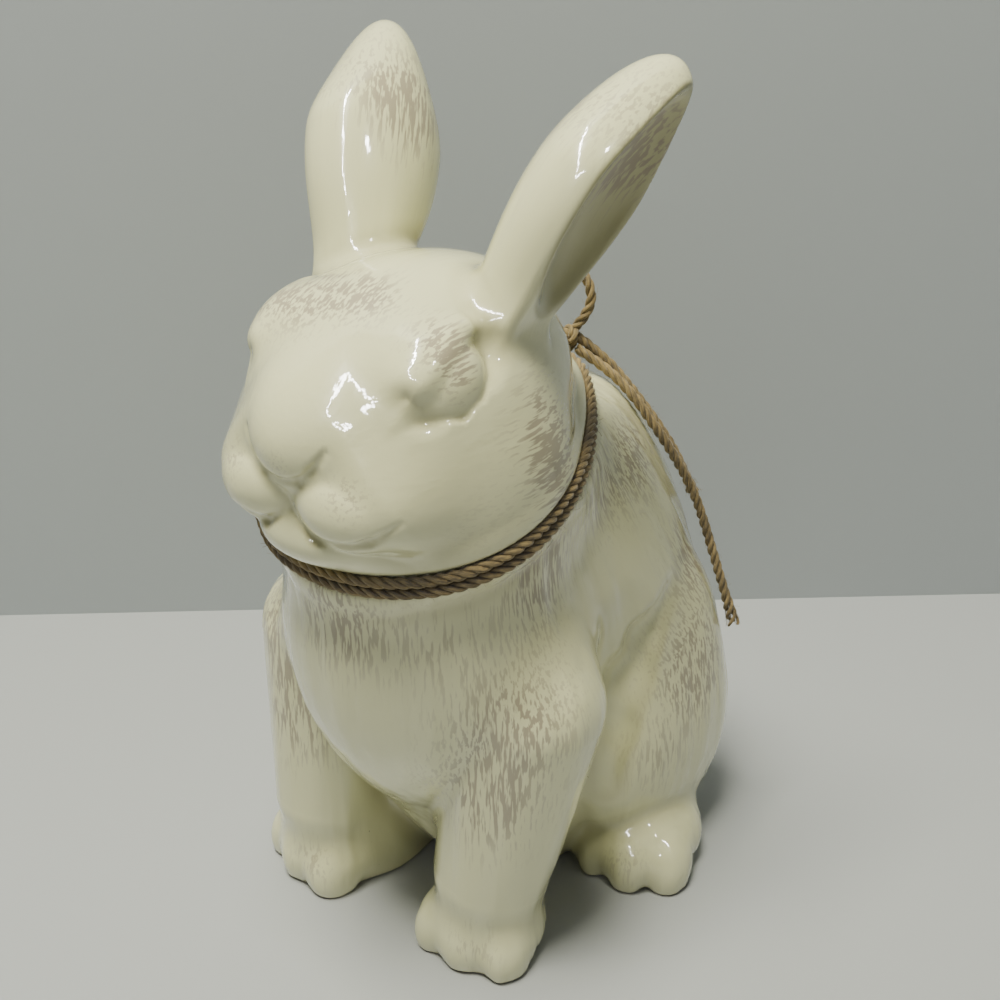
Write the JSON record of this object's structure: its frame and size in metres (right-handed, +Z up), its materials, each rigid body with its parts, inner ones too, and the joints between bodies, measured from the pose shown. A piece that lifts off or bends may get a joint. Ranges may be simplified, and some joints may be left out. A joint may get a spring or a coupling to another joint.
{
  "type": "ceramic rabbit figurine",
  "caption": "Sitting rabbit ornament in distressed cream glaze, ears raised, with jute twine wound round the neck and tied in a bow at the nape.",
  "frame": {"origin": "the middle of the flat underside, on the surface that the figurine stands on, below the middle of the neck's symmetry plane", "axes": "+Z up through the ears, -Y the way the rabbit faces, +X the rabbit's left side"},
  "size_m": [0.147, 0.207, 0.2899],
  "materials": {
    "body_glaze": "glossy cream glaze with brushed brown-grey distressing",
    "head_glaze": "glossy cream glaze with brushed brown-grey distressing",
    "ear_glaze": "glossy cream glaze with brushed brown-grey distressing",
    "leg_glaze": "glossy cream glaze with brushed brown-grey distressing",
    "jute_twine": "three-ply twisted jute, dry and fuzzy"
  },
  "bodies": {
    "root": {"torso_casting": "body_glaze", "head_casting": "head_glaze", "left_ear": "ear_glaze", "right_ear": "ear_glaze", "left_foreleg": "leg_glaze", "right_foreleg": "leg_glaze", "left_haunch": "leg_glaze", "right_haunch": "leg_glaze", "left_hind_foot": "leg_glaze", "right_hind_foot": "leg_glaze", "tail": "body_glaze", "twine_neck_wrap": "jute_twine", "twine_knot": "jute_twine", "twine_loop_left": "jute_twine", "twine_loop_right": "jute_twine", "twine_tail_short": "jute_twine", "twine_tail_long": "jute_twine"}
  },
  "joints": []
}
